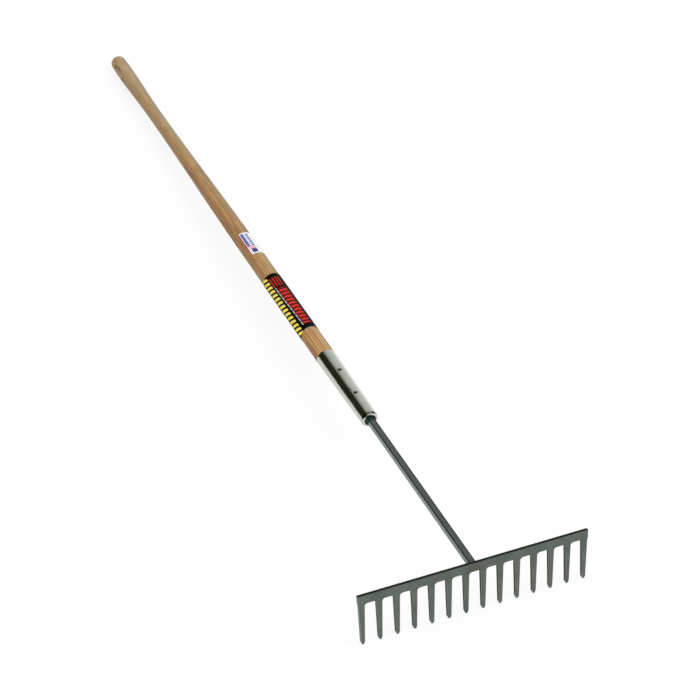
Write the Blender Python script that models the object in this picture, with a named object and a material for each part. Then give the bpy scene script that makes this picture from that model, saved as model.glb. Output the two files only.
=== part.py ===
"""Asphalt rake: a steel comb head, a square shank welded to its back, and a turned ash handle that
holds the shank's tang, with a steel ferrule and two rivets over the joint.

Metres, +Z up. The rake lies as it rests on the ground, on its tine tips and its grip end: the head is at
-Y, the grip at +Y, and +X runs along the head. The origin is the bottom centre of its bounding box.
Every piece is modelled along the handle's axis, in the frame of one empty. There +Y runs up the handle
from the head's back face, and the empty then tips the whole rake into its resting pose.
"""
import bmesh
import bpy
from math import cos, pi, radians, sin, tan

# Comb head, cut from one plate
TINE_COUNT = 14
TINE_PITCH = 0.03175
PLATE_THICKNESS = 0.0063
BAR_HEIGHT = 0.0178
BAR_END_MARGIN = 0.0014
BAR_END_FOOT = 0.0010
TINE_LENGTH = 0.0848
TINE_ROOT_WIDTH = 0.0112
TINE_END_WIDTH = 0.0073
TINE_POINT_LENGTH = 0.0048
TINE_POINT_WIDTH = 0.0036
GAP_FILLET = 0.0052
PLATE_EDGE = 0.0005
HEAD_LEAN = radians(3.1)

# Shank, a square bar whose far end is the tang inside the handle
SHANK_SIZE = 0.0125
SHANK_EDGE = 0.0008
SHANK_EXPOSED = 0.4390
SHANK_DROP = 0.0113
TANG_LENGTH = 0.1700
TANG_END_SIZE = 0.0100
TANG_POINT_LENGTH = 0.0140
TANG_POINT_SIZE = 0.0040
WELD_LEG = 0.0036
WELD_RIPPLE = 0.07
WELD_BULGE = 0.58
WELD_STEPS = 8

# Ferrule, a tapered tube rolled in at its mouth
FERRULE_LENGTH = 0.2123
FERRULE_TOP_DIAMETER = 0.0380
FERRULE_LOW_DIAMETER = 0.0327
FERRULE_WALL = 0.0014
FERRULE_ROLL = 0.0050

# Handle, turned
HANDLE_LENGTH = 1.5067
HANDLE_SHOULDER_DIAMETER = 0.0381
HANDLE_BODY_DIAMETER = 0.0379
HANDLE_BODY_FROM_END = 0.8930
HANDLE_WAIST_DIAMETER = 0.0286
HANDLE_WAIST_FROM_END = 0.2860
HANDLE_KNOB_DIAMETER = 0.0358
HANDLE_KNOB_FROM_END = 0.0590
HANDLE_END_DIAMETER = 0.0348
HANDLE_END_ROUND = 0.0165
HANDLE_FOOT_CHAMFER = 0.0010

# Rivets through the ferrule, the handle and the tang
RIVET_DIAMETER = 0.0048
RIVET_HEAD_DIAMETER = 0.0088
RIVET_HEAD_HEIGHT = 0.0016
RIVET_FROM_FERRULE_TOP = 0.0672
RIVET_SPACING = 0.0765

# Printed band round the handle, and the small sticker above it
BAND_FROM_FERRULE = 0.0813
BAND_LENGTH = 0.2032
STICKER_FROM_BAND = 0.0829
STICKER_LENGTH = 0.0832
STICKER_FROM_ANGLE = radians(15)
STICKER_TO_ANGLE = radians(128)
LABEL_THICKNESS = 0.0003
LABEL_GAP = 0.0002

# Clearance between pieces that touch, and how finely round forms are cut
FIT_GAP = 0.0003
ROUND_SIDES = 48
RIVET_SIDES = 24
BLEND_STEPS = 8
ARC_STEPS = 5
SHARP_ANGLE = radians(35)

# Stations along the handle's axis, from the head's back face
HALF_SHANK = SHANK_SIZE / 2
FERRULE_MOUTH = SHANK_EXPOSED
FERRULE_TOP = FERRULE_MOUTH + FERRULE_LENGTH
ROLL_START = FERRULE_MOUTH + FERRULE_ROLL
HANDLE_FOOT = ROLL_START + FIT_GAP
HANDLE_END = HANDLE_FOOT + HANDLE_LENGTH
TANG_END = HANDLE_FOOT + TANG_LENGTH
RIVET_STATIONS = {
    "rivet_upper": FERRULE_TOP - RIVET_FROM_FERRULE_TOP,
    "rivet_lower": FERRULE_TOP - RIVET_FROM_FERRULE_TOP - RIVET_SPACING,
}
BAND_START = FERRULE_TOP + BAND_FROM_FERRULE
BAND_END = BAND_START + BAND_LENGTH
STICKER_START = BAND_END + STICKER_FROM_BAND
STICKER_END = STICKER_START + STICKER_LENGTH


def remove_everything():
    for obj in list(bpy.data.objects):
        bpy.data.objects.remove(obj, do_unlink=True)


def make_material(name, colour, roughness, metallic):
    material = bpy.data.materials.new(name)
    material.use_nodes = True
    shader = material.node_tree.nodes["Principled BSDF"]
    shader.inputs["Base Color"].default_value = (*colour, 1.0)
    shader.inputs["Roughness"].default_value = roughness
    shader.inputs["Metallic"].default_value = metallic
    return material


def make_object(name, bm, material, frame):
    """Turn a bmesh into a named object in the rake's frame."""
    bmesh.ops.recalc_face_normals(bm, faces=bm.faces)
    mesh = bpy.data.meshes.new(name)
    bm.to_mesh(mesh)
    bm.free()
    mesh.shade_smooth()
    mesh.set_sharp_from_angle(angle=SHARP_ANGLE)
    obj = bpy.data.objects.new(name, mesh)
    obj.parent = frame
    bpy.context.scene.collection.objects.link(obj)
    if material:
        mesh.materials.append(material)
    return obj


def loft(rings, closed=False):
    """Skin a list of equal rings of points, and cap its ends, or join its last ring to its first."""
    bm = bmesh.new()
    rows = [[bm.verts.new(point) for point in ring] for ring in rings]
    if closed:
        rows.append(rows[0])
    for row, following in zip(rows, rows[1:]):
        for i in range(len(row)):
            j = (i + 1) % len(row)
            bm.faces.new((row[i], row[j], following[j], following[i]))
    if not closed:
        bm.faces.new(rows[0])
        bm.faces.new(rows[-1])
    return bm


def circle(radius, station, sides):
    """A ring about the handle's axis, with a point at the very top and the very bottom."""
    turns = [2 * pi * i / sides for i in range(sides)]
    return [(radius * cos(turn), station, radius * sin(turn)) for turn in turns]


def turn_profile(profile, sides, closed=False):
    """Revolve (station, radius) points about the axis: a solid, or a tube where the profile is a loop."""
    return loft([circle(radius, station, sides) for station, radius in profile], closed)


def quarter_arc(centre, radius, start, end):
    """Points of an arc of a profile, as (station, radius), from one angle to another."""
    angles = [start + (end - start) * i / ARC_STEPS for i in range(ARC_STEPS + 1)]
    return [(centre[0] + radius * cos(a), centre[1] + radius * sin(a)) for a in angles]


def cut(obj, cutters):
    for cutter in cutters:
        modifier = obj.modifiers.new("cut_" + cutter.name, "BOOLEAN")
        modifier.operation = "DIFFERENCE"
        modifier.solver = "EXACT"
        modifier.object = cutter


def make_cutter(name, bm, frame):
    cutter = make_object(name, bm, None, frame)
    cutter.hide_render = True
    cutter.display_type = "WIRE"
    return cutter


# The comb head

def gap_edge(x, side):
    """One side of a gap's rounded root, from its middle to the tine: x is the tine, side is +1 or -1."""
    root = x + side * TINE_ROOT_WIDTH / 2
    centre_x = root + side * GAP_FILLET
    centre_z = SHANK_DROP - BAR_HEIGHT - GAP_FILLET
    angles = [pi / 2 * i / ARC_STEPS for i in range(ARC_STEPS + 1)]
    return [(centre_x - side * GAP_FILLET * sin(a), centre_z + GAP_FILLET * cos(a)) for a in angles]


def bar_end(side):
    """The head's end, from its top corner down to the outer tine."""
    tine_edge = side * ((TINE_COUNT - 1) * TINE_PITCH / 2 + TINE_ROOT_WIDTH / 2)
    bar_bottom = SHANK_DROP - BAR_HEIGHT
    return [
        (tine_edge + side * BAR_END_MARGIN, SHANK_DROP),
        (tine_edge + side * BAR_END_FOOT, bar_bottom),
        (tine_edge, bar_bottom - BAR_END_FOOT),
    ]


def tine_point(x):
    """The tapered tine's lower end, from its right shoulder round its blunt point to its left shoulder."""
    tip = SHANK_DROP - BAR_HEIGHT - TINE_LENGTH
    shoulder = tip + TINE_POINT_LENGTH
    return [
        (x + TINE_END_WIDTH / 2, shoulder),
        (x + TINE_POINT_WIDTH / 2, tip),
        (x - TINE_POINT_WIDTH / 2, tip),
        (x - TINE_END_WIDTH / 2, shoulder),
    ]


def comb_outline():
    """The head's outline in its own plane, from its right end round all the tines to its left end."""
    first = (TINE_COUNT - 1) * TINE_PITCH / 2
    outline = bar_end(1)
    for i in range(TINE_COUNT):
        x = first - i * TINE_PITCH
        if i > 0:
            outline += gap_edge(x, 1)
        outline += tine_point(x)
        if i < TINE_COUNT - 1:
            outline += gap_edge(x, -1)[::-1]
    return outline + bar_end(-1)[::-1]


def build_head(frame):
    """The plate leans so that its tines reach forward; its origin is where the axis meets its back face."""
    bm = bmesh.new()
    back = bm.faces.new([bm.verts.new((x, 0, z)) for x, z in comb_outline()])
    front = bmesh.ops.extrude_face_region(bm, geom=[back])["geom"]
    front_points = [item for item in front if isinstance(item, bmesh.types.BMVert)]
    bmesh.ops.translate(bm, verts=front_points, vec=(0, -PLATE_THICKNESS, 0))
    steel = make_material("painted_steel", (0.115, 0.130, 0.122), 0.48, 0.35)
    head = make_object("rake_head", bm, steel, frame)
    head.rotation_euler.x = -HEAD_LEAN
    edge = head.modifiers.new("sheared_edges", "BEVEL")
    edge.width = PLATE_EDGE
    edge.segments = 1
    edge.limit_method = "ANGLE"
    edge.angle_limit = SHARP_ANGLE
    return head


# The shank and its weld

def behind_plate(z, distance):
    """A station behind the head's leaning back face, at a height z above the handle's axis."""
    return z * tan(HEAD_LEAN) + distance


def square_ring(size, station):
    """A square section with broken corners."""
    half = size / 2
    flat = half - SHANK_EDGE
    corners = [(half, flat), (flat, half), (-flat, half), (-half, flat)]
    corners += [(-x, -z) for x, z in corners]
    return [(x, station, z) for x, z in corners]


def tang_rings(clearance):
    """The tang's sections from the ferrule's mouth, grown by a clearance for the socket that it fills."""
    grow = 2 * clearance
    return [
        square_ring(SHANK_SIZE + grow, FERRULE_MOUTH),
        square_ring(TANG_END_SIZE + grow, TANG_END - TANG_POINT_LENGTH),
        square_ring(TANG_POINT_SIZE + grow, TANG_END + clearance),
    ]


def build_shank(frame, rivet_holes):
    meeting = [(x, behind_plate(z, FIT_GAP), z) for x, _, z in square_ring(SHANK_SIZE, 0)]
    steel = make_material("shank_steel", (0.120, 0.140, 0.130), 0.42, 0.45)
    shank = make_object("shank", loft([meeting] + tang_rings(0)), steel, frame)
    cut(shank, rivet_holes)


def weld_path():
    """Where the bead runs, up one side of the shank, over its top and down the other.

    Each item is a point of the shank's section and the direction out of it.
    """
    step = SHANK_SIZE / WELD_STEPS
    half = [((-HALF_SHANK, -HALF_SHANK + step * i), pi) for i in range(WELD_STEPS)]
    half += [((-HALF_SHANK, HALF_SHANK), pi - pi / 2 * i / ARC_STEPS) for i in range(ARC_STEPS + 1)]
    half += [((-HALF_SHANK + step * i, HALF_SHANK), pi / 2) for i in range(1, WELD_STEPS // 2)]
    middle = [((0, HALF_SHANK), pi / 2)]
    mirrored = [((-point[0], point[1]), pi - direction) for point, direction in half]
    return half + middle + mirrored[::-1]


def weld_ring(point, direction, leg):
    """The bead's three-sided section at one place: along the plate, over its crown and along the shank."""
    section = [(0, 0), (leg, 0), (leg * WELD_BULGE, leg * WELD_BULGE), (0, leg)]
    ring = []
    for outward, along in section:
        x = point[0] + (FIT_GAP + outward) * cos(direction)
        z = point[1] + (FIT_GAP + outward) * sin(direction)
        ring.append((x, behind_plate(z, FIT_GAP + along), z))
    return ring


def build_weld(frame):
    rings = []
    for i, (point, direction) in enumerate(weld_path()):
        ripple = 1 + WELD_RIPPLE * cos(pi * i)
        rings.append(weld_ring(point, direction, WELD_LEG * ripple))
    metal = make_material("weld_metal", (0.105, 0.110, 0.100), 0.55, 0.50)
    make_object("weld_bead", loft(rings), metal, frame)


# The ferrule

def ferrule_radius(station):
    """The outer radius of the tapered tube at a station along the axis."""
    share = (station - ROLL_START) / (FERRULE_TOP - ROLL_START)
    low = FERRULE_LOW_DIAMETER / 2
    return low + (FERRULE_TOP_DIAMETER / 2 - low) * share


def build_ferrule(frame, rivet_holes):
    """The wall's outer side runs down to the mouth and round the roll, and its inner side comes back."""
    roll_centre = (ROLL_START, FERRULE_LOW_DIAMETER / 2 - FERRULE_ROLL)
    outer = [(FERRULE_TOP, ferrule_radius(FERRULE_TOP))]
    outer += quarter_arc(roll_centre, FERRULE_ROLL, pi / 2, pi)
    inner = quarter_arc(roll_centre, FERRULE_ROLL - FERRULE_WALL, pi, pi / 2)
    inner.append((FERRULE_TOP, ferrule_radius(FERRULE_TOP) - FERRULE_WALL))
    chrome = make_material("bright_plate", (0.72, 0.72, 0.69), 0.12, 1.0)
    ferrule = make_object("ferrule", turn_profile(outer + inner, ROUND_SIDES, closed=True), chrome, frame)
    cut(ferrule, rivet_holes)


# The handle

def blend(start, end):
    """An easy curve between two (station, diameter) pairs, as (station, radius) points."""
    points = []
    for i in range(BLEND_STEPS + 1):
        share = i / BLEND_STEPS
        ease = (1 - cos(pi * share)) / 2
        station = start[0] + (end[0] - start[0]) * share
        points.append((station, (start[1] + (end[1] - start[1]) * ease) / 2))
    return points


def handle_profile():
    """The turned outline, from the foot inside the ferrule to the rounded grip end."""
    inside = FERRULE_WALL + FIT_GAP
    foot = ferrule_radius(HANDLE_FOOT) - inside
    shoulder = FERRULE_TOP + FIT_GAP
    body = (HANDLE_END - HANDLE_BODY_FROM_END, HANDLE_BODY_DIAMETER)
    waist = (HANDLE_END - HANDLE_WAIST_FROM_END, HANDLE_WAIST_DIAMETER)
    knob = (HANDLE_END - HANDLE_KNOB_FROM_END, HANDLE_KNOB_DIAMETER)
    end = (HANDLE_END - HANDLE_END_ROUND, HANDLE_END_DIAMETER)
    profile = [
        (HANDLE_FOOT, foot - HANDLE_FOOT_CHAMFER),
        (HANDLE_FOOT + HANDLE_FOOT_CHAMFER, foot),
        (shoulder, ferrule_radius(shoulder) - inside),
        (shoulder, HANDLE_SHOULDER_DIAMETER / 2),
    ]
    profile += blend(body, waist)
    profile += blend(waist, knob)[1:]
    profile += blend(knob, end)[1:]
    for i in range(1, BLEND_STEPS + 1):
        turn = 0.46 * pi * i / BLEND_STEPS
        profile.append((end[0] + HANDLE_END_ROUND * sin(turn), end[1] / 2 * cos(turn)))
    return profile


def build_handle(frame, rivet_holes):
    ash = make_material("lacquered_ash", (0.52, 0.31, 0.13), 0.38, 0.0)
    handle = make_object("handle", turn_profile(handle_profile(), ROUND_SIDES), ash, frame)
    socket = make_cutter("tang_socket", loft(tang_rings(FIT_GAP)), frame)
    cut(handle, [socket] + rivet_holes)
    return handle


# The labels

def label_profile(start, end):
    """Stations from start to end with the handle's radius at each, following its turned outline."""
    outline = handle_profile()
    stations = [start] + [station for station, _ in outline if start < station < end] + [end]
    profile = []
    for station in stations:
        for (low, low_radius), (high, high_radius) in zip(outline, outline[1:]):
            if low <= station <= high and high > low:
                share = (station - low) / (high - low)
                radius = low_radius + (high_radius - low_radius) * share
        profile.append((station, radius))
    return profile


def label_section(start, end):
    """A label's thin section along the handle: up its outer side and back down its inner side."""
    profile = label_profile(start, end)
    outer = [(station, radius + LABEL_GAP + LABEL_THICKNESS) for station, radius in profile]
    inner = [(station, radius + LABEL_GAP) for station, radius in profile]
    return outer + inner[::-1]


def build_band(frame):
    vinyl = make_material("black_vinyl", (0.012, 0.012, 0.012), 0.35, 0.0)
    bm = turn_profile(label_section(BAND_START, BAND_END), ROUND_SIDES, closed=True)
    make_object("handle_band", bm, vinyl, frame)


def build_sticker(frame):
    """A patch bent round part of the handle, made of its section at each step of the angle."""
    section = label_section(STICKER_START, STICKER_END)
    steps = round((STICKER_TO_ANGLE - STICKER_FROM_ANGLE) / (2 * pi / ROUND_SIDES))
    rings = []
    for i in range(steps + 1):
        turn = STICKER_FROM_ANGLE + (STICKER_TO_ANGLE - STICKER_FROM_ANGLE) * i / steps
        rings.append([(radius * cos(turn), station, radius * sin(turn)) for station, radius in section])
    paper = make_material("white_sticker", (0.80, 0.80, 0.82), 0.40, 0.0)
    make_object("handle_sticker", loft(rings), paper, frame)


# The rivets

def rivet_profile(station):
    """Half a rivet's outline from its middle to the crown of its head, as (height, radius) points."""
    seat = ferrule_radius(station) + FIT_GAP
    profile = [(seat, RIVET_DIAMETER / 2), (seat, RIVET_HEAD_DIAMETER / 2)]
    for i in range(1, ARC_STEPS + 1):
        turn = 0.45 * pi * i / ARC_STEPS
        height = seat + RIVET_HEAD_HEIGHT * sin(turn)
        profile.append((height, RIVET_HEAD_DIAMETER / 2 * cos(turn)))
    return profile


def stand_across(obj, station):
    """Stand a turned piece upright across the handle, half a side round so no edge meets an edge."""
    obj.rotation_euler = (pi / 2, 0, pi / RIVET_SIDES)
    obj.location.y = station


def build_rivet(name, station, steel, frame):
    half = rivet_profile(station)
    profile = [(-height, radius) for height, radius in half[::-1]] + half
    rivet = make_object(name, turn_profile(profile, RIVET_SIDES), steel, frame)
    stand_across(rivet, station)


def make_rivet_hole(name, station, frame):
    reach = ferrule_radius(station) + FERRULE_WALL
    radius = RIVET_DIAMETER / 2 + FIT_GAP
    hole = make_cutter(name + "_hole", turn_profile([(-reach, radius), (reach, radius)], RIVET_SIDES), frame)
    stand_across(hole, station)
    return hole


# The resting pose

def frame_points(obj, depsgraph):
    """The finished mesh's points in the rake's frame, as (along, height) pairs."""
    evaluated = obj.evaluated_get(depsgraph)
    mesh = evaluated.to_mesh()
    points = [obj.matrix_local @ vertex.co for vertex in mesh.vertices]
    evaluated.to_mesh_clear()
    return [(point.y, point.z) for point in points]


def heights(points, pitch):
    return [z * cos(pitch) - y * sin(pitch) for y, z in points]


def lengths(points, pitch):
    return [y * cos(pitch) + z * sin(pitch) for y, z in points]


def lay_down(frame, head, handle):
    """Tip the frame until the tine tips and the grip end touch the same ground, and centre it there."""
    bpy.context.view_layer.update()
    depsgraph = bpy.context.evaluated_depsgraph_get()
    tips = frame_points(head, depsgraph)
    grip = frame_points(handle, depsgraph)
    low, high = 0.0, pi / 4
    for _ in range(50):
        pitch = (low + high) / 2
        if min(heights(grip, pitch)) > min(heights(tips, pitch)):
            low = pitch
        else:
            high = pitch
    reach = lengths(tips + grip, pitch)
    frame.rotation_euler.x = -pitch
    frame.location.y = -(min(reach) + max(reach)) / 2
    frame.location.z = -min(heights(tips + grip, pitch))


def main():
    remove_everything()
    frame = bpy.data.objects.new("handle_axis", None)
    bpy.context.scene.collection.objects.link(frame)
    rivet_steel = make_material("rivet_steel", (0.45, 0.46, 0.44), 0.30, 1.0)
    holes = [make_rivet_hole(name, station, frame) for name, station in RIVET_STATIONS.items()]
    head = build_head(frame)
    build_shank(frame, holes)
    build_weld(frame)
    build_ferrule(frame, holes)
    handle = build_handle(frame, holes)
    build_band(frame)
    build_sticker(frame)
    for name, station in RIVET_STATIONS.items():
        build_rivet(name, station, rivet_steel, frame)
    lay_down(frame, head, handle)


main()
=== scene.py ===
"""Looks of the asphalt rake: finishes for every piece, a white floor, soft light and the camera.

The finishes are laid out in the handle's own frame: across it, along it and up. Stations run up the handle
from the middle of the lower rivet, and angles run round it in degrees, from +X over its top. A ramp is given
by a low and a high level, and by what each level becomes, which is 0 and 1 where nothing is given.
"""
from math import atan2, cos, pi, radians, sin

import bpy
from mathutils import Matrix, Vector


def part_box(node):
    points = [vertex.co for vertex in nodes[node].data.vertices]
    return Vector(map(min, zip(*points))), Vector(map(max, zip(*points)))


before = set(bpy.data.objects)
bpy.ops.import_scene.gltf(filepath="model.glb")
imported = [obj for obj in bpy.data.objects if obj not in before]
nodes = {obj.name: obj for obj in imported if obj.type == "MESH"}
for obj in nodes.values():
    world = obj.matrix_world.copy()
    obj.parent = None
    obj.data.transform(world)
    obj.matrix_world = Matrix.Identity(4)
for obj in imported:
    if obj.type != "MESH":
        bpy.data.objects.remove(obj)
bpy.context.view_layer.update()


def middle(node):
    low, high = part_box(node)
    return (low + high) / 2


# The handle's axis runs through the middles of the two rivets
AXIS_START = middle("rivet_lower")
AXIS = (middle("rivet_upper") - AXIS_START).normalized()
AXIS_PITCH = -atan2(AXIS.z, AXIS.y)


def node_span(node):
    """The lowest and highest stations of a node."""
    stations = [(vertex.co - AXIS_START).dot(AXIS) for vertex in nodes[node].data.vertices]
    return min(stations), max(stations)


HANDLE_START, HANDLE_END = node_span("handle")
BAND_START = node_span("handle_band")[0]
STICKER_START = node_span("handle_sticker")[0]

# The handle's radius at its labels, and how far round it a degree goes
LABEL_RADIUS = 0.0196
METRES_PER_DEGREE = LABEL_RADIUS * pi / 180


def srgb(red, green, blue):
    """A display colour, 0 to 255 a channel, as the linear colour that a shader takes."""
    return tuple(((c / 255 + 0.055) / 1.055) ** 2.4 for c in (red, green, blue))


def grey(level):
    return (level, level, level)


class Graph:
    """Shader nodes, added one at a time. Values may be numbers, colours or sockets."""

    def __init__(self, tree):
        self.tree = tree

    def feed(self, socket, value):
        if isinstance(value, bpy.types.NodeSocket):
            self.tree.links.new(value, socket)
        elif isinstance(value, tuple) and len(value) == 3 and socket.type == "RGBA":
            socket.default_value = (*value, 1.0)
        else:
            socket.default_value = value

    def node(self, kind, inputs=None, **settings):
        node = self.tree.nodes.new(kind)
        for key, value in settings.items():
            setattr(node, key, value)
        for key, value in (inputs or {}).items():
            self.feed(node.inputs[key], value)
        return node

    def math(self, operation, *values):
        return self.node("ShaderNodeMath", dict(enumerate(values)), operation=operation).outputs[0]

    def add(self, a, b):
        return self.math("ADD", a, b)

    def subtract(self, a, b):
        return self.math("SUBTRACT", a, b)

    def multiply(self, a, b):
        return self.math("MULTIPLY", a, b)

    def divide(self, a, b):
        return self.math("DIVIDE", a, b)

    def larger(self, a, b):
        return self.math("MAXIMUM", a, b)

    def absolute(self, value):
        return self.math("ABSOLUTE", value)

    def invert(self, value):
        return self.subtract(1.0, value)

    def distance(self, x, y):
        """How far a point lies from the origin of its plane."""
        return self.math("SQRT", self.add(self.multiply(x, x), self.multiply(y, y)))

    def ramp(self, value, low, high, at_low=0.0, at_high=1.0):
        """A smooth ramp of a value, from low to high."""
        inputs = {"Value": value, "From Min": low, "From Max": high, "To Min": at_low, "To Max": at_high}
        return self.node("ShaderNodeMapRange", inputs, interpolation_type="SMOOTHSTEP").outputs[0]

    def within(self, value, low, high, soft):
        """One between low and high, with soft edges, and zero outside."""
        rise = self.ramp(self.subtract(value, low), -soft / 2, soft / 2)
        fall = self.ramp(self.subtract(value, high), -soft / 2, soft / 2, 1.0, 0.0)
        return self.multiply(rise, fall)

    def curve(self, value, stops):
        """A straight-line curve through (position, colour) stops, with positions from 0 to 1."""
        node = self.node("ShaderNodeValToRGB", {"Fac": value})
        elements = node.color_ramp.elements
        while len(elements) < len(stops):
            elements.new(0.5)
        for element, (position, colour) in zip(elements, stops):
            element.position = position
            element.color = (*colour, 1.0)
        return node.outputs["Color"]

    def curve_round(self, angle, stops):
        """A straight-line curve through (degrees, colour) stops round the handle."""
        return self.curve(self.divide(angle, 360), [(degrees / 360, colour) for degrees, colour in stops])

    def mix(self, share, first, second):
        return self.node("ShaderNodeMixRGB", {0: share, 1: first, 2: second}).outputs[0]

    def vary(self, noise, first, second, low=0.3, high=0.7):
        """A colour that goes from the first to the second as a noise rises."""
        return self.mix(self.ramp(noise, low, high), first, second)

    def shade(self, colour, factor):
        """A colour made lighter or darker by a factor."""
        return self.node("ShaderNodeVectorMath", {0: colour, "Scale": factor}, operation="SCALE").outputs[0]

    def vector(self, operation, first, second, output=0):
        node = self.node("ShaderNodeVectorMath", {0: first, 1: second}, operation=operation)
        return node.outputs[output]

    def split(self, vector):
        node = self.node("ShaderNodeSeparateXYZ", {"Vector": vector})
        return node.outputs[0], node.outputs[1], node.outputs[2]

    def combine(self, x, y, z):
        return self.node("ShaderNodeCombineXYZ", {0: x, 1: y, 2: z}).outputs[0]

    def place(self):
        """Positions in the handle's own frame: across, along the axis and up, from the lower rivet."""
        position = self.node("ShaderNodeTexCoord").outputs["Object"]
        shifted = self.vector("SUBTRACT", position, tuple(AXIS_START))
        inputs = {"Vector": shifted, "Rotation": (AXIS_PITCH, 0.0, 0.0)}
        return self.node("ShaderNodeMapping", inputs).outputs[0]

    def angle(self, across, up):
        """The angle round the handle, from 0 to 360 degrees."""
        turn = self.math("FLOORED_MODULO", self.math("ARCTAN2", up, across), 2 * pi)
        return self.multiply(turn, 180 / pi)

    def way_round(self, angle, start):
        """How far an angle lies round the handle from another, in metres."""
        return self.multiply(self.subtract(angle, start), METRES_PER_DEGREE)

    def normal(self):
        return self.node("ShaderNodeNewGeometry").outputs["Normal"]

    def noise(self, place, scale=1.0, detail=2.0, roughness=0.5):
        inputs = {"Vector": place, "Scale": scale, "Detail": detail, "Roughness": roughness}
        return self.node("ShaderNodeTexNoise", inputs).outputs["Fac"]

    def grain(self, scales, detail=2.0, roughness=0.5):
        """Noise drawn out along the handle."""
        return self.noise(self.vector("MULTIPLY", self.place(), scales), detail=detail, roughness=roughness)


class Finish(Graph):
    """A material's graph, round one Principled shader."""

    SOCKETS = {
        "colour": "Base Color", "roughness": "Roughness", "metallic": "Metallic", "coat": "Coat Weight",
        "coat_roughness": "Coat Roughness", "specular": "Specular IOR Level",
    }

    def __init__(self, name):
        self.material = bpy.data.materials.new(name)
        self.material.use_nodes = True
        super().__init__(self.material.node_tree)
        self.shader = self.tree.nodes["Principled BSDF"]

    def bump(self, height, depth):
        node = self.node("ShaderNodeBump", {"Height": height, "Distance": depth, "Strength": 1.0})
        self.feed(self.shader.inputs["Normal"], node.outputs[0])

    def finish(self, **values):
        for key, value in values.items():
            self.feed(self.shader.inputs[self.SOCKETS[key]], value)
        return self.material


# Wood

# The tree's heart lies outside the handle, towards -X and below it. The rings sway about it, and near one
# station they swirl. The last ramp goes by the distance from that station
HEART_ACROSS = 0.066
HEART_BELOW = 0.018
SWAY_GRAIN = (5.0, 1.5, 5.0)
SWAY_ACROSS = 0.030
SWAY_UP_GRAIN = (6.0, 1.9, 4.0)
SWAY_UP = 0.026
SWIRL_STATION = 0.59
SWIRL = (0.0, 0.075, 0.007, 0.0)

# Rings: how many to a metre, how far they waver in rings, and the shares of a ring between which its dark
# line rises and then fades
RINGS_PER_METRE = 238.0
RING_WAVER = 0.8
LINE_RISE = (0.30, 0.55)
LINE_FADE = (0.82, 1.0, 1.0, 0.0)

# Noises that change with the rings: their scales over the rings and along the handle, and their ramps
WAVER_SCALES = (120.0, 3.0)
STRENGTH_SCALES = (5.17, 1.3)
RING_STRENGTH = (0.28, 0.58, 0.55, 1.0)
STREAK_SCALES = (95.0, 2.2)
STREAK_SHIFT = 3.0
STREAKS = (0.50, 0.80, 0.0, 0.6)

# Noises drawn out along the handle: their scales across, along and up, per metre, and their ramps
PATCH_GRAIN = (24.0, 4.0, 24.0)
PATCHES = (0.25, 0.65, 0.4, 1.0)
THIN_GRAIN = (330.0, 4.0, 330.0)
THIN_LINES = (0.52, 0.66)
THIN_BY_PATCH = (0.30, 0.60, 0.6, 1.0)
THIN_BY_SHARE = (0.24, 0.42, 0.56, 0.16)
CLOUD_GRAIN = (60.0, 26.0, 60.0)
CLOUDS = (0.28, 0.72, 0.90, 1.07)
BLUSH_GRAIN = (70.0, 17.0, 70.0)
PINK_PATCHES = (0.52, 0.72, 0.0, 0.16)
GREEN_PATCHES = (0.30, 0.46, 0.14, 0.0)
FIBRE_GRAIN = (1100.0, 14.0, 1100.0)
FIBRES = (0.25, 0.75, 0.84, 1.13)
FIBRE_ROUGHNESS = (0.2, 0.8, 0.44, 0.56)
PORE_GRAIN = (2600.0, 70.0, 2600.0)
PORES = (0.62, 0.70)
PORES_BETWEEN_RINGS = 0.25
PORES_ON_RINGS = 0.6
FIBRE_HEIGHT = 0.5
WOOD_BUMP = 0.00008

# Wood, by the share of the handle's length from its foot: how strong the rings are, light wood and dark wood
RING_CONTRAST = (
    (0.00, grey(1.00)), (0.25, grey(0.95)), (0.38, grey(1.00)), (0.62, grey(1.00)), (0.74, grey(0.40)),
    (1.00, grey(0.30)),
)
WOOD_LIGHT = (
    (0.00, srgb(255, 216, 142)), (0.21, srgb(255, 216, 142)), (0.34, srgb(234, 190, 128)),
    (0.42, srgb(212, 168, 106)), (0.62, srgb(221, 181, 124)), (0.76, srgb(204, 175, 126)),
    (1.00, srgb(205, 179, 137)),
)
WOOD_DARK = (
    (0.00, srgb(142, 68, 26)), (0.22, srgb(142, 72, 30)), (0.36, srgb(108, 62, 26)),
    (0.62, srgb(104, 62, 26)), (0.76, srgb(124, 94, 58)), (1.00, srgb(126, 98, 66)),
)
THIN_COLOUR = srgb(158, 72, 28)
PINK_COLOUR = srgb(206, 128, 96)
GREEN_COLOUR = srgb(176, 176, 112)
PORE_COLOUR = srgb(110, 70, 38)

# Painted light and shade round the handle: the wood's colour is scaled, red, green and blue, by degrees
# round it, lightest over the top and darkest low on the -X side, where less light falls
WOOD_SHADE_ROUND = (
    (0, (0.72, 0.80, 0.90)), (45, (0.70, 0.79, 0.90)), (65, (0.76, 0.83, 0.91)), (82, (0.87, 0.89, 0.90)),
    (100, (0.91, 0.87, 0.80)), (118, (0.90, 0.84, 0.76)), (136, (0.86, 0.76, 0.66)),
    (156, (0.76, 0.66, 0.54)), (182, (0.67, 0.60, 0.51)), (215, (0.55, 0.49, 0.43)),
    (265, (0.68, 0.66, 0.62)), (310, (0.74, 0.78, 0.80)), (360, (0.72, 0.80, 0.90)),
)

# Painted shade inside the ferrule's mouth: the end that the ferrule hides is darkened, by the distance from
# the handle's foot
HIDDEN_END_SHADE_COLOUR = srgb(92, 76, 66)
HIDDEN_END = (0.010, 0.030, 1.0, 0.0)

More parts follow.
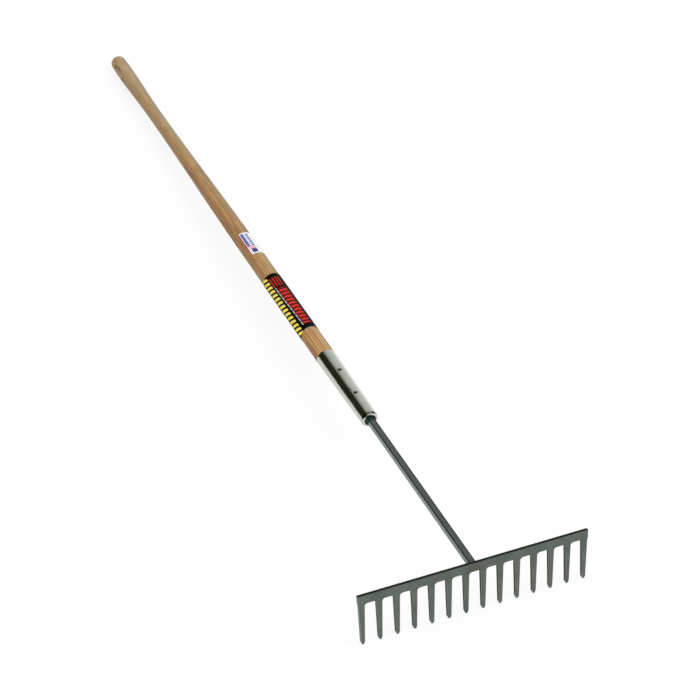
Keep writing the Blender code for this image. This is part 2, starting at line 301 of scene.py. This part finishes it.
# Each knot: metres from the grip end, degrees round, half length, half width, colour, strength
KNOTS = (
    (0.043, 151, 0.0125, 0.0026, srgb(22, 14, 8), 1.00),
    (0.064, 140, 0.0150, 0.0040, srgb(118, 84, 52), 0.75),
    (0.098, 180, 0.0180, 0.0040, srgb(40, 29, 21), 1.00),
)
KNOT_EDGE = (0.40, 1.05)
KNOT_RAGGEDNESS = 0.6
KNOT_NOISE_SCALE = 330.0


def cut_rings(g, across, along, up):
    """The tree's rings where the turned surface cuts them: their dark lines, and broader dark streaks."""

    def ring_noise(value, scales, shift=0.0, detail=2.0, roughness=0.5):
        place = g.combine(g.multiply(value, scales[0]), g.multiply(along, scales[1]), shift)
        return g.noise(place, detail=detail, roughness=roughness)

    sway = g.multiply(g.subtract(g.grain(SWAY_GRAIN, roughness=0.45), 0.5), SWAY_ACROSS)
    sway_up = g.multiply(g.subtract(g.grain(SWAY_UP_GRAIN, roughness=0.45), 0.5), SWAY_UP)
    swirl = g.ramp(g.absolute(g.subtract(along, SWIRL_STATION)), *SWIRL)
    from_heart = g.add(g.add(across, swirl), g.add(HEART_ACROSS, sway))
    depth = g.distance(from_heart, g.add(g.add(up, HEART_BELOW), sway_up))
    waver = g.multiply(ring_noise(depth, WAVER_SCALES), RING_WAVER)
    rings = g.add(g.multiply(depth, RINGS_PER_METRE), waver)
    place_in_ring = g.math("FRACT", rings)
    line = g.multiply(g.ramp(place_in_ring, *LINE_RISE), g.ramp(place_in_ring, *LINE_FADE))
    strength = ring_noise(g.math("FLOOR", rings), STRENGTH_SCALES, detail=1.0)
    line = g.multiply(line, g.ramp(strength, *RING_STRENGTH))
    streak = ring_noise(depth, STREAK_SCALES, STREAK_SHIFT, roughness=0.6)
    return line, g.ramp(streak, *STREAKS)


def mark_knots(g, along, angle, colour):
    """Small dark knots near the grip end: each is a spot, stretched along the grain."""
    ragged = g.noise(g.place(), KNOT_NOISE_SCALE, roughness=0.6)
    ragged = g.multiply(g.subtract(ragged, 0.5), KNOT_RAGGEDNESS)
    for from_end, degrees, length, width, knot_colour, strength in KNOTS:
        lengthwise = g.divide(g.subtract(along, HANDLE_END - from_end), length)
        sideways = g.divide(g.way_round(angle, degrees), width)
        spot = g.ramp(g.add(g.distance(lengthwise, sideways), ragged), *KNOT_EDGE, strength, 0.0)
        colour = g.mix(spot, colour, knot_colour)
    return colour


def make_wood():
    """Lacquered ash: growth rings, fine fibres, pores, faint pink and green patches, a few knots, painted
    light and shade round the handle, and painted shade on the end inside the ferrule.
    """
    g = Finish("lacquered_ash")
    across, along, up = g.split(g.place())
    angle = g.angle(across, up)
    from_foot = g.subtract(along, HANDLE_START)
    share = g.divide(from_foot, HANDLE_END - HANDLE_START)

    contrast = g.curve(share, RING_CONTRAST)
    patch = g.grain(PATCH_GRAIN, roughness=0.6)
    line, streak = cut_rings(g, across, along, up)
    line = g.multiply(g.multiply(line, g.ramp(patch, *PATCHES)), contrast)
    dark = g.curve(share, WOOD_DARK)
    colour = g.mix(line, g.curve(share, WOOD_LIGHT), dark)
    colour = g.mix(g.multiply(streak, contrast), colour, dark)
    thin = g.ramp(g.grain(THIN_GRAIN, detail=1.0), *THIN_LINES)
    thin = g.multiply(thin, g.multiply(g.ramp(share, *THIN_BY_SHARE), g.ramp(patch, *THIN_BY_PATCH)))
    colour = g.mix(thin, colour, THIN_COLOUR)

    cloud = g.grain(CLOUD_GRAIN, detail=3.0, roughness=0.6)
    colour = g.shade(colour, g.ramp(cloud, *CLOUDS))
    blush = g.grain(BLUSH_GRAIN, roughness=0.6)
    colour = g.mix(g.ramp(blush, *PINK_PATCHES), colour, PINK_COLOUR)
    colour = g.mix(g.ramp(blush, *GREEN_PATCHES), colour, GREEN_COLOUR)
    fibre = g.grain(FIBRE_GRAIN, detail=3.0, roughness=0.6)
    colour = g.shade(colour, g.ramp(fibre, *FIBRES))
    pore = g.ramp(g.grain(PORE_GRAIN, detail=1.0), *PORES)
    pore = g.multiply(pore, g.add(g.multiply(line, PORES_ON_RINGS), PORES_BETWEEN_RINGS))
    colour = g.mix(pore, colour, PORE_COLOUR)

    # Painted light and shade: the colour is scaled by which way round the handle a surface faces
    colour = g.vector("MULTIPLY", colour, g.curve_round(angle, WOOD_SHADE_ROUND))
    colour = mark_knots(g, along, angle, colour)
    # Painted shade: the wood's end inside the ferrule is darkened
    colour = g.mix(g.ramp(from_foot, *HIDDEN_END), colour, HIDDEN_END_SHADE_COLOUR)
    g.bump(g.subtract(g.multiply(fibre, FIBRE_HEIGHT), pore), WOOD_BUMP)
    roughness = g.ramp(fibre, *FIBRE_ROUGHNESS)
    return g.finish(
        colour=colour, roughness=roughness, metallic=0.0, specular=0.35, coat=0.10, coat_roughness=0.30)


# Metal

# The coat on head and shank: the scales of its clouds and specks, per metre, and how specks shade it
COAT_CLOUD_SCALE = 38.0
COAT_SPECK_SCALE = 620.0
COAT_SPECKS = (0.3, 0.7, 0.88, 1.12)

# Head: two close colours of coat, and the heat tint, by the distance from the weld's middle
HEAD_COATS = (srgb(77, 87, 79), srgb(93, 105, 95))
HEAT_COLOUR = srgb(76, 74, 60)
HEAT_MIDDLE_UP = -0.002
HEAT = (0.008, 0.026, 0.75, 0.0)

# Head's edges: the plate's flat faces look along this direction, and by how far a face looks along it, it is
# a sheared edge, a broken corner between two levels with soft ends, or flat. Then the colours: painted shade
# on the dull sheared edges, painted light on some of them, and painted shade and a painted highlight on the
# corners
PLATE_NORMAL = (0.0, -0.99576, 0.09197)
SHEARED = (0.35, 0.55, 1.0, 0.0)
BROKEN = (0.60, 0.82, 0.06)
SHEARED_SHADE_COLOUR = srgb(26, 28, 25)
LIT_EDGE_COLOUR = srgb(122, 136, 130)
CORNER_SHADE_COLOUR = srgb(76, 84, 78)
CORNER_HIGHLIGHT_COLOUR = srgb(128, 140, 134)

# Where painted light goes on the head, by how far a face looks up, and by how far across it lies: a painted
# highlight on corners that don't face up, and painted light on the edges of the undersides, as if they mirror
# the bright floor, and on the outer side of the tine at -X, as if a side light falls there that the other
# tines shade
HIGHLIGHT_UNLESS_UP = (0.30, 0.50, 1.0, 0.0)
LIT_EDGES_BELOW = (-0.30, -0.15, 1.0, 0.0)
LIT_EDGES_SIDEWAYS = (0.3, 0.5, 1.0, 0.0)
LIT_OUTER_TINE = (-0.200, -0.165, 1.0, 0.0)

# The head's fine relief and its roughness
HEAD_FINE_SCALE = 2400.0
HEAD_SPECK_HEIGHT = 2.0
HEAD_BUMP = 0.00005
HEAD_ROUGHNESS = (0.3, 0.7, 0.22, 0.32)
HEAD_EDGE_ROUGHNESS = 0.5

# Shank: two close colours of coat, then its sides and corners, by how far a face looks sideways and by how
# far it lies from the middle. The sides get painted light, as if they mirror the bright floor
SHANK_COATS = (srgb(38, 52, 47), srgb(53, 69, 63))
SHANK_LIT_SIDE_COLOUR = srgb(74, 98, 90)
SHANK_CORNER_COLOUR = srgb(8, 11, 10)
SHANK_SIDES = (0.92, 0.97)
SHANK_CORNERS = (0.30, 0.92, 0.10)
SHANK_BESIDE_CORNERS = (0.0034, 0.0048)
SHANK_TOP = (0.3, 0.5, 0.85, 0.0)
SHANK_BUMP = 0.00006
SHANK_ROUGHNESS = (0.3, 0.7, 0.14, 0.22)
SHANK_CORNER_ROUGHNESS = 0.6

# Weld
WELD_COLOURS = (srgb(52, 52, 46), srgb(84, 82, 72))
WELD_SCALE = 260.0
WELD_BUMP = 0.0005

# Ferrule: bright plate
PLATE_COLOURS = (srgb(202, 207, 197), srgb(211, 214, 205))
PLATE_CLOUD_SCALE = 46.0
PLATE_ROUGHNESS = (0.3, 0.75, 0.05, 0.10)
POLISH_GRAIN = (3200.0, 40.0, 3200.0)
POLISH_ROUGHNESS = 0.03
POLISH_HEIGHT = 0.01
DENT_GRAIN = (30.0, 10.5, 30.0)
PLATE_BUMP = 0.00016

# A scuff beside the lower rivet: its station, half length, angle, half width in degrees, and its ramp, by the
# distance from its middle
SCUFF_STATION = 0.0135
SCUFF_LENGTH = 0.0060
SCUFF_ANGLE = 108.0
SCUFF_WIDTH = 7.0
SCUFF = (0.3, 1.0, 0.65, 0.0)
SCUFF_COLOUR = srgb(112, 114, 102)

# Rivets
RIVET_COLOURS = (srgb(150, 155, 142), srgb(186, 190, 178))
RIVET_SCALE = 900.0
RIVET_ROUGHNESS = (0.3, 0.7, 0.05, 0.09)
RIVET_BUMP = 0.00001


def make_head_steel():
    """Grey-green coat on the faces, dull sheared edges with painted shade, and corners with a painted
    highlight, or painted shade where they face up.

    Painted light goes on the edges of the tines' undersides, as if they mirror the bright floor, and on the
    outer side of the tine at -X, as if a side light falls there that the other tines shade.
    """
    g = Finish("head_steel")
    place = g.place()
    across, _, up = g.split(place)
    cloud = g.noise(place, COAT_CLOUD_SCALE, detail=4.0, roughness=0.6)
    speck = g.noise(place, COAT_SPECK_SCALE)
    from_weld = g.distance(across, g.subtract(up, HEAT_MIDDLE_UP))
    colour = g.mix(g.ramp(from_weld, *HEAT), g.vary(cloud, *HEAD_COATS), HEAT_COLOUR)

    normal = g.normal()
    upward = g.split(normal)[2]
    flatness = g.absolute(g.vector("DOT_PRODUCT", normal, PLATE_NORMAL, output="Value"))
    edge = g.ramp(flatness, *SHEARED)
    corner = g.within(flatness, *BROKEN)
    corner_highlight = g.multiply(corner, g.ramp(upward, *HIGHLIGHT_UNLESS_UP))
    # Painted light on the edges of the undersides and of the outer side of the tine at -X
    outer = g.multiply(g.ramp(across, *LIT_OUTER_TINE), g.ramp(g.absolute(upward), *LIT_EDGES_SIDEWAYS))
    lit_edge = g.larger(g.ramp(upward, *LIT_EDGES_BELOW), outer)
    # Painted shade on the sheared edges, and painted light on those of the undersides and of the outer tine
    colour = g.mix(edge, colour, g.mix(lit_edge, SHEARED_SHADE_COLOUR, LIT_EDGE_COLOUR))
    # Painted shade on corners that face up, and a painted highlight on the other corners
    colour = g.mix(g.subtract(corner, corner_highlight), colour, CORNER_SHADE_COLOUR)
    colour = g.mix(corner_highlight, colour, CORNER_HIGHLIGHT_COLOUR)

    colour = g.shade(colour, g.ramp(speck, *COAT_SPECKS))
    roughness = g.add(g.ramp(cloud, *HEAD_ROUGHNESS), g.multiply(edge, HEAD_EDGE_ROUGHNESS))
    g.bump(g.add(g.noise(place, HEAD_FINE_SCALE), g.multiply(speck, HEAD_SPECK_HEIGHT)), HEAD_BUMP)
    return g.finish(colour=colour, roughness=roughness, metallic=0.0, specular=0.5)


def make_shank_steel():
    """Smooth grey-green coated bar with painted light on its sides, and dark dull corners."""
    g = Finish("shank_steel")
    place = g.place()
    cloud = g.noise(place, COAT_CLOUD_SCALE, detail=4.0, roughness=0.6)
    speck = g.noise(place, COAT_SPECK_SCALE)
    from_middle = g.absolute(g.split(place)[0])
    sideways = g.absolute(g.split(g.normal())[0])
    # Painted light: the faces that look sideways get a lighter colour
    colour = g.mix(g.ramp(sideways, *SHANK_SIDES), g.vary(cloud, *SHANK_COATS), SHANK_LIT_SIDE_COLOUR)
    beside = g.multiply(g.ramp(from_middle, *SHANK_BESIDE_CORNERS), g.ramp(sideways, *SHANK_TOP))
    corner = g.larger(g.within(sideways, *SHANK_CORNERS), beside)
    colour = g.mix(corner, colour, SHANK_CORNER_COLOUR)
    colour = g.shade(colour, g.ramp(speck, *COAT_SPECKS))
    roughness = g.add(g.ramp(cloud, *SHANK_ROUGHNESS), g.multiply(corner, SHANK_CORNER_ROUGHNESS))
    g.bump(speck, SHANK_BUMP)
    return g.finish(colour=colour, roughness=roughness, metallic=0.0, specular=1.0)


def make_weld_metal():
    """Coated weld with a rough, scaly skin."""
    g = Finish("weld_metal")
    scale = g.noise(g.place(), WELD_SCALE, detail=4.0, roughness=0.65)
    g.bump(scale, WELD_BUMP)
    colour = g.vary(scale, *WELD_COLOURS, low=0.35, high=0.65)
    return g.finish(colour=colour, roughness=0.4, metallic=0.2)


def make_bright_plate():
    """Bright plate: fine lengthwise polishing marks, a few faint dents, finger dulling and one scuff."""
    g = Finish("bright_plate")
    across, along, up = g.split(g.place())
    polish = g.grain(POLISH_GRAIN)
    dents = g.grain(DENT_GRAIN, detail=1.0, roughness=0.4)
    cloud = g.noise(g.place(), PLATE_CLOUD_SCALE, detail=3.0, roughness=0.55)
    lengthwise = g.divide(g.subtract(along, SCUFF_STATION), SCUFF_LENGTH)
    sideways = g.divide(g.subtract(g.angle(across, up), SCUFF_ANGLE), SCUFF_WIDTH)
    scuff = g.ramp(g.distance(lengthwise, g.subtract(sideways, lengthwise)), *SCUFF)
    colour = g.mix(scuff, g.vary(cloud, *PLATE_COLOURS), SCUFF_COLOUR)
    roughness = g.add(g.ramp(cloud, *PLATE_ROUGHNESS), g.multiply(polish, POLISH_ROUGHNESS))
    g.bump(g.add(g.multiply(polish, POLISH_HEIGHT), dents), PLATE_BUMP)
    return g.finish(colour=colour, roughness=roughness, metallic=1.0)


def make_rivet_steel():
    """Polished rivet heads, a little worn."""
    g = Finish("rivet_steel")
    wear = g.noise(g.place(), RIVET_SCALE, detail=3.0, roughness=0.6)
    g.bump(wear, RIVET_BUMP)
    return g.finish(
        colour=g.vary(wear, *RIVET_COLOURS), roughness=g.ramp(wear, *RIVET_ROUGHNESS), metallic=1.0)


# Labels

# How soft the print's edges are, along the handle and in degrees round it
PRINT_EDGE = 0.0004
PRINT_EDGE_DEGREES = PRINT_EDGE / METRES_PER_DEGREE

# Band: its inks, and its print by metres up from its lower end and by degrees round
VINYL_BLACK = srgb(14, 13, 12)
VINYL_YELLOW = srgb(255, 234, 92)
VINYL_RED = srgb(212, 52, 40)
VINYL_WHITE = srgb(196, 196, 194)
BLOCK_PITCH = 0.01390
BLOCK_SHARE = 0.56
BLOCK_START = 0.0052
BLOCK_SLANT = 0.84
BLOCK_ANGLES = (138, 186)
BAR_PITCH = 0.0122
BAR_SHARE = 0.66
BAR_SPAN = (0.017, 0.150)
BAR_LOW_ANGLE = 66
BAR_HIGH_ANGLES = (108, 118)
DASH_PITCH = 0.0136
DASH_SHARE = 0.80
DASH_SPAN = (0.014, 0.155)
DASH_ANGLES = (116, 126)
DASH_HALF_WIDTH = 2.6
STRIPE_PITCH = 0.0058
STRIPE_SHARE = 0.44
STRIPE_SPAN = (0.157, 0.190)
STRIPE_ANGLES = (66, 134)

# The band's pale cut end, where the light catches it
RIM_COLOUR = srgb(196, 188, 170)
RIM_STATIONS = (0.0006, 0.0010, 1.0, 0.0)
RIM_ANGLES = (140, 150, 1.0, 0.0)

# Sticker: its ground, its edge, and each block of ink: its span up from the sticker's lower end, its angles,
# and the pitch and share of its bars, if any
STICKER_WHITE = srgb(250, 250, 255)
STICKER_RED = srgb(196, 36, 46)
RED_EDGE_STATIONS = (0.0818, 0.0822)
RED_EDGE_ANGLES = (122.4, 123.6)
STICKER_BLOCKS = (
    ((0.029, 0.078), (100, 119), 0.0066, 0.86, srgb(50, 62, 172)),
    ((0.030, 0.077), (73, 91), 0.0058, 0.72, srgb(86, 106, 164)),
    ((0.004, 0.018), (76, 108), None, None, srgb(52, 50, 146)),
    ((0.018, 0.031), (72, 114), 0.0044, 0.66, srgb(228, 150, 176)),
)


def repeat(g, value, pitch, share):
    """One on a share of each pitch, and zero between."""
    phase = g.math("FRACT", g.divide(value, pitch))
    return g.within(phase, (1 - share) / 2, (1 + share) / 2, PRINT_EDGE / pitch)


def between_stations(g, station, span):
    return g.within(station, *span, PRINT_EDGE)


def between_angles(g, angle, angles):
    return g.within(angle, *angles, PRINT_EDGE_DEGREES)


def make_printed_vinyl():
    """Black band: slanted yellow blocks, plain red bars and stripes, and a broken white line."""
    g = Finish("black_vinyl")
    across, along, up = g.split(g.place())
    angle = g.angle(across, up)
    station = g.subtract(along, BAND_START)

    lower_end = g.add(g.multiply(g.way_round(angle, BLOCK_ANGLES[0]), BLOCK_SLANT), BLOCK_START)
    blocks = repeat(g, g.subtract(station, lower_end), BLOCK_PITCH, BLOCK_SHARE)
    blocks = g.multiply(blocks, between_angles(g, angle, BLOCK_ANGLES))
    colour = g.mix(blocks, VINYL_BLACK, VINYL_YELLOW)

    bar_top = g.ramp(station, *BAR_SPAN, *BAR_HIGH_ANGLES)
    bars = g.multiply(repeat(g, station, BAR_PITCH, BAR_SHARE), between_stations(g, station, BAR_SPAN))
    bars = g.multiply(bars, between_angles(g, angle, (BAR_LOW_ANGLE, bar_top)))
    colour = g.mix(bars, colour, VINYL_RED)

    from_dash = g.absolute(g.subtract(angle, g.ramp(station, *DASH_SPAN, *DASH_ANGLES)))
    dashes = g.multiply(repeat(g, station, DASH_PITCH, DASH_SHARE), between_stations(g, station, DASH_SPAN))
    dash_edge = (DASH_HALF_WIDTH, DASH_HALF_WIDTH + PRINT_EDGE_DEGREES, 1.0, 0.0)
    dashes = g.multiply(dashes, g.ramp(from_dash, *dash_edge))
    colour = g.mix(dashes, colour, VINYL_WHITE)

    rim = g.multiply(g.ramp(station, *RIM_STATIONS), g.ramp(angle, *RIM_ANGLES))
    colour = g.mix(rim, colour, RIM_COLOUR)

    stripes = repeat(g, g.way_round(angle, STRIPE_ANGLES[0]), STRIPE_PITCH, STRIPE_SHARE)
    stripes = g.multiply(stripes, between_stations(g, station, STRIPE_SPAN))
    stripes = g.multiply(stripes, between_angles(g, angle, STRIPE_ANGLES))
    colour = g.mix(stripes, colour, VINYL_RED)
    return g.finish(colour=colour, roughness=0.50, metallic=0.0, specular=0.04)


def make_sticker_print():
    """White sticker: a thin red edge, two rows of plain blue bars, and a dark blue and a pink block."""
    g = Finish("white_sticker")
    across, along, up = g.split(g.place())
    angle = g.angle(across, up)
    station = g.subtract(along, STICKER_START)
    edge = g.larger(g.ramp(angle, *RED_EDGE_ANGLES), g.ramp(station, *RED_EDGE_STATIONS))
    colour = g.mix(edge, STICKER_WHITE, STICKER_RED)
    for span, angles, pitch, share, ink in STICKER_BLOCKS:
        printed = g.multiply(between_stations(g, station, span), between_angles(g, angle, angles))
        if pitch:
            printed = g.multiply(printed, repeat(g, station, pitch, share))
        colour = g.mix(printed, colour, ink)
    return g.finish(colour=colour, roughness=0.34, metallic=0.0)


# Stage, light and camera

# Floor: the grey that lights the rake, the grey and the white that the camera adds up, the white that shiny
# surfaces mirror, and the stretch of X over which what they mirror goes from dark, at -X, to light
FLOOR_SIZE = 60.0
FLOOR_COLOUR = 0.80
FLOOR_SEEN_COLOUR = 0.20
FLOOR_LIFT = 0.82
FLOOR_SHEEN = 0.18
FLOOR_DARK_COLOUR = 0.02
FLOOR_DARK_LEFT = (-0.41, -0.31)

# The world's even light, and one large soft lamp
WORLD_STRENGTH = 0.85
KEY_POWER = 26.0
KEY_SIZE = 2.4
KEY_PLACE = Vector((2.2, -1.8, 3.0))

# The room that shiny surfaces mirror: its brightness and its tint, by degrees from +X over the top
ROOM = (
    (0, 0.78), (19, 0.76), (37, 0.71), (52, 0.67), (67, 0.62), (80, 0.56), (93, 0.42), (106, 0.26),
    (113, 0.12), (117, 0.04), (120, 0.024), (200, 0.024), (360, 0.78),
)
WARM_TINT = (1.0, 1.0, 0.55)
ROOM_TINT = ((0, grey(1.0)), (100, grey(1.0)), (118, WARM_TINT), (190, WARM_TINT), (220, grey(1.0)))

# Two dark walls across the room, between these directions along +Y, which fade in above the floor
FAR_WALL = (0.05, 0.64)
NEAR_WALL = (-0.62, -0.05)
WALL_EDGE = 0.06
WALL_FOOT = (0.02, 0.10)
WALL_DARKNESS = 0.93

# Camera, at the photograph's viewing angle
CAMERA_AZIMUTH = radians(22.811)
CAMERA_ELEVATION = radians(37.740)
CAMERA_ROLL = radians(0.072)
CAMERA_AIM = Vector((0.0538, -0.3045, 0.06))
CAMERA_DISTANCE = 4.1833
CAMERA_LENS = 112.40


def make_floor():
    """A pale matt floor that the camera sees as white, with the rake's soft shadow on it."""
    g = Finish("floor")
    path = g.node("ShaderNodeLightPath").outputs
    camera = path["Is Camera Ray"]
    glossy = path["Is Glossy Ray"]
    across = g.split(g.node("ShaderNodeNewGeometry").outputs["Position"])[0]
    right = g.ramp(across, *FLOOR_DARK_LEFT)
    colour = g.mix(camera, grey(FLOOR_COLOUR), grey(FLOOR_SEEN_COLOUR))
    colour = g.mix(g.multiply(glossy, g.invert(right)), colour, grey(FLOOR_DARK_COLOUR))
    g.finish(colour=colour, roughness=0.9, metallic=0.0, specular=0.0)
    seen = g.multiply(g.larger(camera, path["Is Transmission Ray"]), FLOOR_LIFT)
    mirrored = g.multiply(g.multiply(glossy, right), FLOOR_SHEEN)
    g.feed(g.shader.inputs["Emission Color"], grey(1.0))
    g.feed(g.shader.inputs["Emission Strength"], g.add(seen, mirrored))

    half = FLOOR_SIZE / 2
    corners = [(-half, -half, 0), (half, -half, 0), (half, half, 0), (-half, half, 0)]
    mesh = bpy.data.meshes.new("floor")
    mesh.from_pydata(corners, [], [(0, 1, 2, 3)])
    mesh.materials.append(g.material)
    plane = bpy.data.objects.new("floor", mesh)
    bpy.context.scene.collection.objects.link(plane)


def make_world():
    """White for the camera, even light for the rake, and the room that shiny surfaces mirror."""
    world = bpy.data.worlds.new("studio")
    world.use_nodes = True
    bpy.context.scene.world = world
    g = Graph(world.node_tree)
    across, along, up = g.split(g.node("ShaderNodeTexCoord").outputs["Generated"])
    angle = g.angle(across, up)
    level = g.curve_round(angle, [(degrees, grey(brightness)) for degrees, brightness in ROOM])
    walls = g.add(g.within(along, *FAR_WALL, WALL_EDGE), g.within(along, *NEAR_WALL, WALL_EDGE))
    walls = g.multiply(walls, g.ramp(up, *WALL_FOOT))
    level = g.multiply(level, g.invert(g.multiply(walls, WALL_DARKNESS)))

    path = g.node("ShaderNodeLightPath").outputs
    camera = path["Is Camera Ray"]
    glossy = path["Is Glossy Ray"]
    strength = g.add(g.multiply(g.invert(glossy), WORLD_STRENGTH), g.multiply(glossy, level))
    strength = g.add(g.multiply(g.invert(camera), strength), camera)
    background = g.tree.nodes["Background"]
    g.feed(background.inputs["Color"], g.mix(glossy, grey(1.0), g.curve_round(angle, ROOM_TINT)))
    g.feed(background.inputs["Strength"], strength)


def make_key_light():
    """A large soft lamp from the right and the front, which shiny surfaces don't mirror."""
    data = bpy.data.lights.new("key", "AREA")
    data.shape = "SQUARE"
    data.size = KEY_SIZE
    data.energy = KEY_POWER
    key = bpy.data.objects.new("key", data)
    bpy.context.scene.collection.objects.link(key)
    key.location = KEY_PLACE
    key.rotation_euler = (-KEY_PLACE).to_track_quat("-Z", "Y").to_euler()
    key.visible_glossy = False


def make_camera():
    data = bpy.data.cameras.new("camera")
    data.lens = CAMERA_LENS
    camera = bpy.data.objects.new("camera", data)
    bpy.context.scene.collection.objects.link(camera)
    level = cos(CAMERA_ELEVATION)
    forward = Vector((sin(CAMERA_AZIMUTH) * level, cos(CAMERA_AZIMUTH) * level, -sin(CAMERA_ELEVATION)))
    camera.location = CAMERA_AIM - CAMERA_DISTANCE * forward
    camera.rotation_euler = (pi / 2 - CAMERA_ELEVATION, 0.0, -CAMERA_AZIMUTH)
    camera.rotation_euler.rotate_axis("Z", CAMERA_ROLL)
    bpy.context.scene.camera = camera


# Each finish, and the pieces that it goes on
FINISHES = (
    (make_head_steel, ("rake_head",)),
    (make_shank_steel, ("shank",)),
    (make_weld_metal, ("weld_bead",)),
    (make_bright_plate, ("ferrule",)),
    (make_rivet_steel, ("rivet_lower", "rivet_upper")),
    (make_wood, ("handle",)),
    (make_printed_vinyl, ("handle_band",)),
    (make_sticker_print, ("handle_sticker",)),
)

for make_finish, pieces in FINISHES:
    material = make_finish()
    for piece in pieces:
        materials = nodes[piece].data.materials
        materials.clear()
        materials.append(material)

make_floor()
make_world()
make_key_light()
make_camera()
bpy.context.scene.view_settings.view_transform = "Standard"
